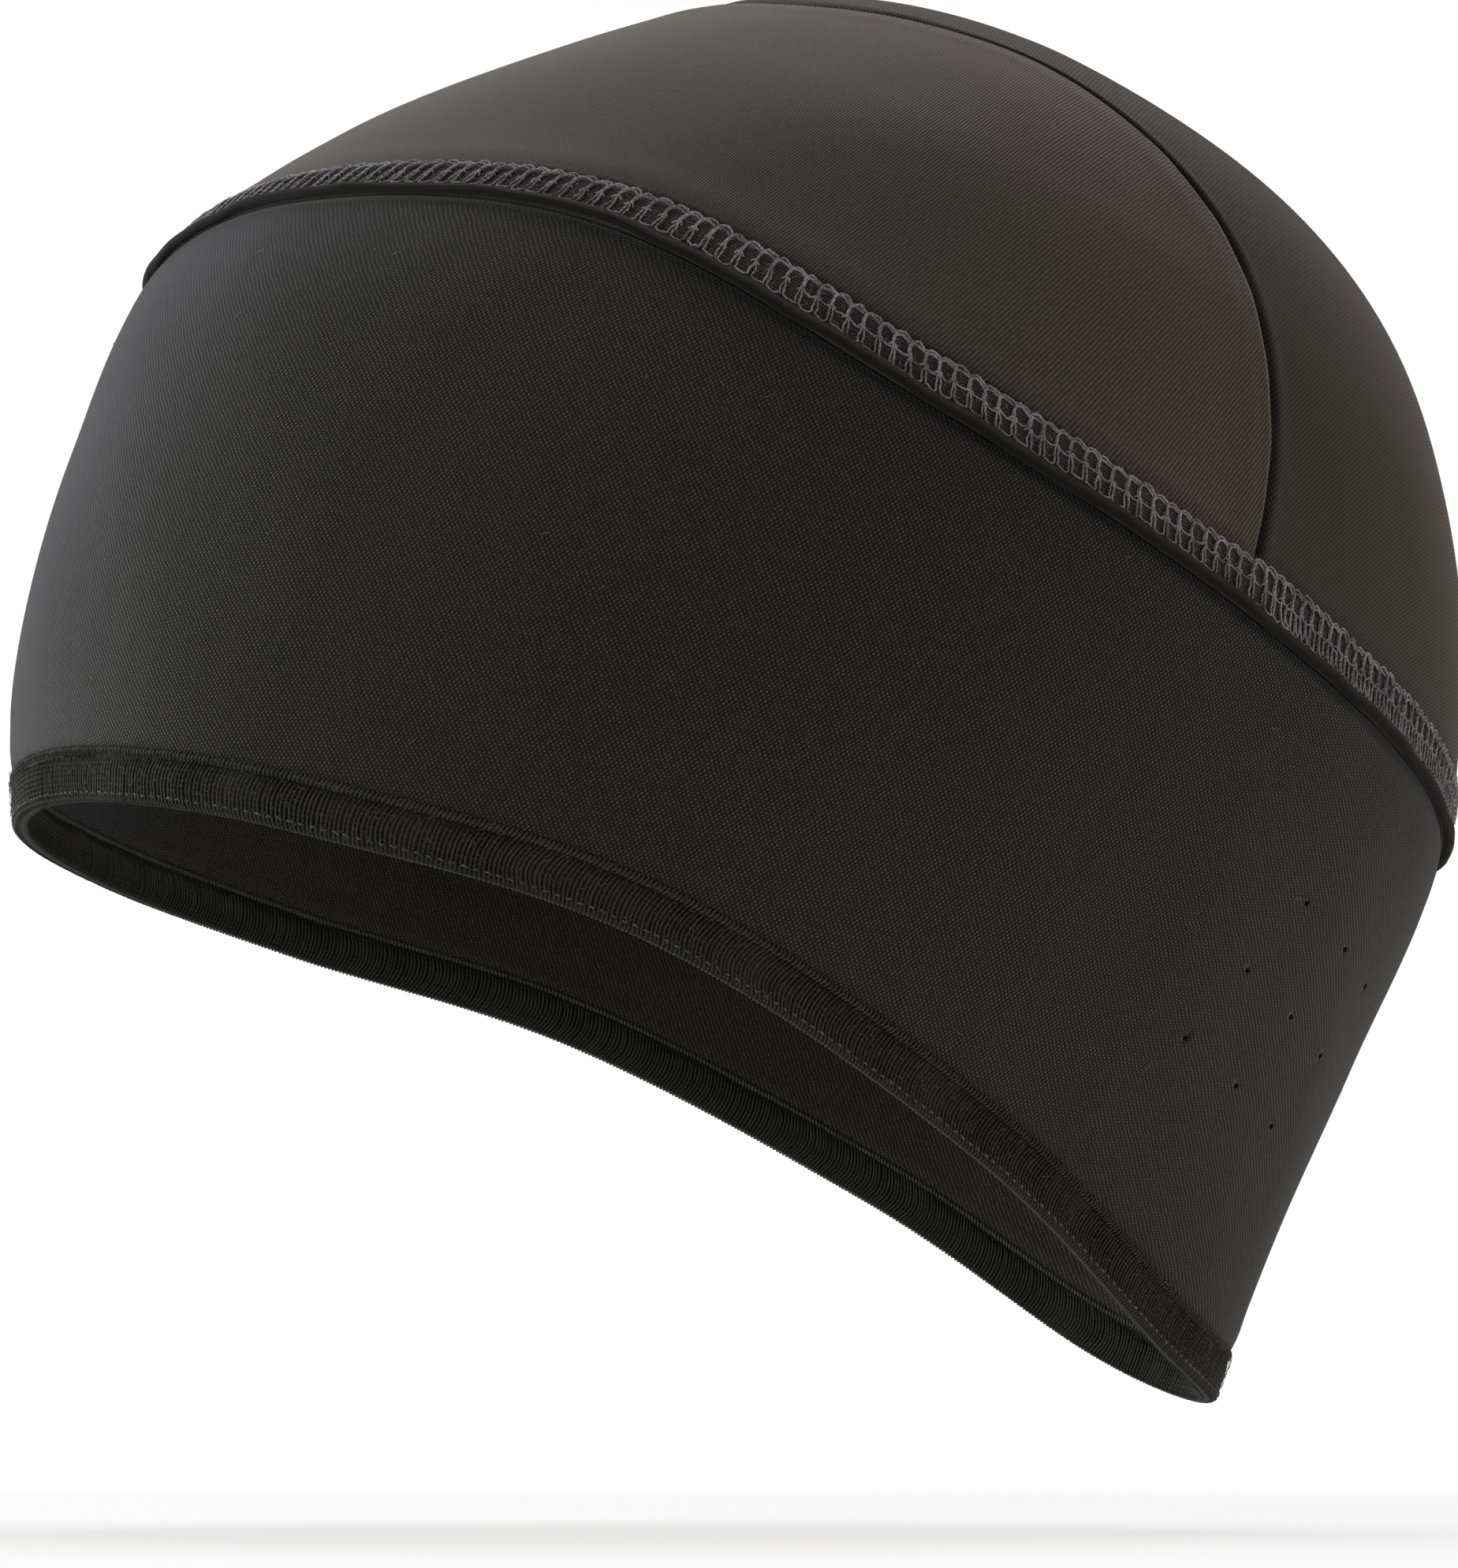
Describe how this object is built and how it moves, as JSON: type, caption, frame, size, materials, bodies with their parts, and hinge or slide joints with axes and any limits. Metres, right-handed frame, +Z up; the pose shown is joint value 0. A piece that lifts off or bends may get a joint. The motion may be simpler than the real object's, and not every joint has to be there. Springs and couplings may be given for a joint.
{
  "type": "sports beanie",
  "caption": "Close-fitting sports beanie with a deep sloping band, two crown panels, a raised stitched fold and a hemmed rim that dips to the nape.",
  "frame": {"origin": "highest point inside the crown, where the cap sits on top of a head", "axes": "+Z up, front of the cap towards -Y, wearer's left towards +X"},
  "size_m": [0.1596, 0.2061, 0.1972],
  "materials": {
    "band_cloth": "fine matt stretch knit, brushed, near black",
    "crown_front_cloth": "fine matt twill-like knit, dark brownish grey",
    "crown_back_cloth": "matt ribbed knit, dark grey",
    "edge_cloth": "matt doubled knit with flat stitching, dark grey"
  },
  "bodies": {
    "root": {"band": "band_cloth", "rim_hem": "edge_cloth", "crown_fold": "edge_cloth", "crown_front": "crown_front_cloth", "crown_back": "crown_back_cloth"}
  },
  "joints": []
}
